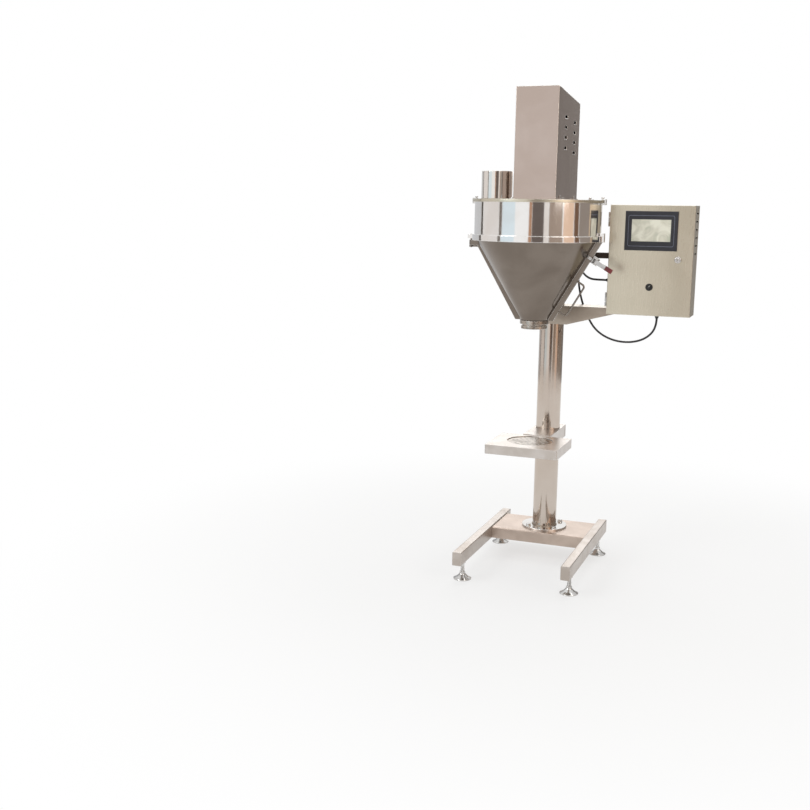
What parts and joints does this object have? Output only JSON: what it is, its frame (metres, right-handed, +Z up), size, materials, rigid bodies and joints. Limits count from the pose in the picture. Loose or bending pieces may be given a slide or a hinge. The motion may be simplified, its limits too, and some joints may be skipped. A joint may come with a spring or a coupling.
{
  "type": "auger powder filler",
  "caption": "Floor-standing auger filler with a hinged split hopper cone, drive housing, height-adjustable tray and touch-panel control box.",
  "frame": {"origin": "middle of the machine's footprint, on the floor under its levelling feet", "axes": "+Z up; -Y towards the operator in front; +X to the right as seen from the front, where the control box is"},
  "size_m": [0.926, 0.775, 2.066],
  "materials": {
    "brushed_stainless": "brushed stainless sheet",
    "polished_stainless": "polished stainless steel",
    "chromed_steel": "bright chromed steel",
    "cast_aluminium": "cast and turned aluminium",
    "galvanised_steel": "galvanised sheet",
    "black_plastic": "moulded plastic",
    "screen_glass": "display behind glass",
    "red_vinyl": "dipped vinyl",
    "black_rubber": "rubber sheath"
  },
  "bodies": {
    "frame": {"left_leg": "brushed_stainless", "right_leg": "brushed_stainless", "cross_member": "brushed_stainless", "base_flange": "polished_stainless", "column": "polished_stainless", "frame_fasteners": "polished_stainless", "box_arm": "brushed_stainless", "box_bar": "brushed_stainless", "box_plate": "brushed_stainless", "hopper_brace": "brushed_stainless", "hopper_body": "polished_stainless", "rear_cone": "brushed_stainless", "cone_hinge_pin": "polished_stainless", "powder_outlet": "polished_stainless", "hopper_lid": "polished_stainless", "lid_clamps": "polished_stainless", "inlet_tube": "polished_stainless", "toggle_base": "brushed_stainless", "drive_housing": "brushed_stainless", "housing_feet": "brushed_stainless", "bearing_housing": "brushed_stainless", "agitator_bearings": "polished_stainless", "agitator_belt": "black_rubber", "motor_stands": "brushed_stainless", "servo_motor": "cast_aluminium", "stirrer_motor": "cast_aluminium", "box_body": "brushed_stainless", "box_hinges": "brushed_stainless", "mounting_plate": "galvanised_steel", "box_electrics": "black_plastic", "cable_glands": "black_plastic", "stirrer_cable": "black_rubber", "servo_cable": "black_rubber"},
    "front_left_foot": {"foot_front_left": "chromed_steel"},
    "front_right_foot": {"foot_front_right": "chromed_steel"},
    "rear_left_foot": {"foot_rear_left": "chromed_steel"},
    "rear_right_foot": {"foot_rear_right": "chromed_steel"},
    "tray": {"tray_bracket": "brushed_stainless", "tray_clamp_collar": "brushed_stainless", "tray_pan": "brushed_stainless", "tray_grid": "brushed_stainless", "tray_bolts": "polished_stainless"},
    "tray_lever": {"tray_lock_lever": "chromed_steel"},
    "cone_door": {"front_cone": "brushed_stainless"},
    "clamp_lever": {"toggle_handle": "brushed_stainless", "toggle_grip": "red_vinyl"},
    "clamp_arm": {"toggle_arm": "brushed_stainless"},
    "auger": {"auger_screw": "polished_stainless", "shaft_coupling": "cast_aluminium"},
    "stirrer": {"agitator": "polished_stainless", "agitator_pulley": "cast_aluminium"},
    "stirrer_drive": {"stirrer_pulley": "cast_aluminium"},
    "control_door": {"box_door": "brushed_stainless", "door_knuckles": "brushed_stainless", "panel_case": "black_plastic", "panel_screen": "screen_glass", "lock_body": "chromed_steel", "selector_body": "black_plastic"},
    "lock": {"lock_barrel": "chromed_steel"},
    "selector": {"selector_knob": "black_plastic"}
  },
  "joints": [
    {"name": "front_left_foot_height", "type": "slide", "parent": "frame", "child": "front_left_foot", "axis": [0, 0, -1], "range_m": [-0.01, 0.025]},
    {"name": "front_right_foot_height", "type": "slide", "parent": "frame", "child": "front_right_foot", "axis": [0, 0, -1], "range_m": [-0.01, 0.025]},
    {"name": "rear_left_foot_height", "type": "slide", "parent": "frame", "child": "rear_left_foot", "axis": [0, 0, -1], "range_m": [-0.01, 0.025]},
    {"name": "rear_right_foot_height", "type": "slide", "parent": "frame", "child": "rear_right_foot", "axis": [0, 0, -1], "range_m": [-0.01, 0.025]},
    {"name": "tray_height", "type": "slide", "parent": "frame", "child": "tray", "axis": [0, 0, 1], "range_m": [-0.3, 0.4]},
    {"name": "tray_lever_turn", "type": "hinge", "parent": "tray", "child": "tray_lever", "pos_m": [-0.163, 0.2707, 0.581], "axis": [-1, 0, 0], "range_deg": [0, 90]},
    {"name": "cone_door_swing", "type": "hinge", "parent": "frame", "child": "cone_door", "pos_m": [-0.451, -0.1145, 1.44], "axis": [0, 0, -1], "range_deg": [0, 100]},
    {"name": "clamp_lever_swing", "type": "hinge", "parent": "frame", "child": "clamp_lever", "pos_m": [0.08832, -0.1265, 1.37545], "axis": [-0.5026, 0, -0.8645], "range_deg": [0, 60]},
    {"name": "clamp_arm_swing", "type": "hinge", "parent": "frame", "child": "clamp_arm", "pos_m": [0.07621, -0.1235, 1.38249], "axis": [0.5026, 0, 0.8645], "range_deg": [0, 90]},
    {"name": "auger_spin", "type": "hinge", "parent": "frame", "child": "auger", "pos_m": [-0.163, -0.1145, 1.5], "axis": [0, 0, 1], "continuous": true},
    {"name": "stirrer_spin", "type": "hinge", "parent": "frame", "child": "stirrer", "pos_m": [-0.163, -0.1145, 1.5], "axis": [0, 0, 1], "continuous": true},
    {"name": "stirrer_drive_spin", "type": "hinge", "parent": "frame", "child": "stirrer_drive", "pos_m": [-0.163, 0.0405, 1.72], "axis": [0, 0, 1], "continuous": true},
    {"name": "control_door_swing", "type": "hinge", "parent": "frame", "child": "control_door", "pos_m": [0.1115, 0.0185, 1.379], "axis": [0, 0, -1], "range_deg": [0, 60]},
    {"name": "lock_turn", "type": "hinge", "parent": "control_door", "child": "lock", "pos_m": [0.403, 0.0005, 1.387], "axis": [0, -1, 0], "range_deg": [0, 90]},
    {"name": "selector_turn", "type": "hinge", "parent": "control_door", "child": "selector", "pos_m": [0.292, 0.0005, 1.271], "axis": [0, -1, 0], "range_deg": [0, 70]}
  ],
  "couplings": [
    {"joint": "clamp_arm_swing", "follows": "clamp_lever_swing", "ratio": 1.5},
    {"joint": "stirrer_drive_spin", "follows": "stirrer_spin", "ratio": 1.6667}
  ]
}
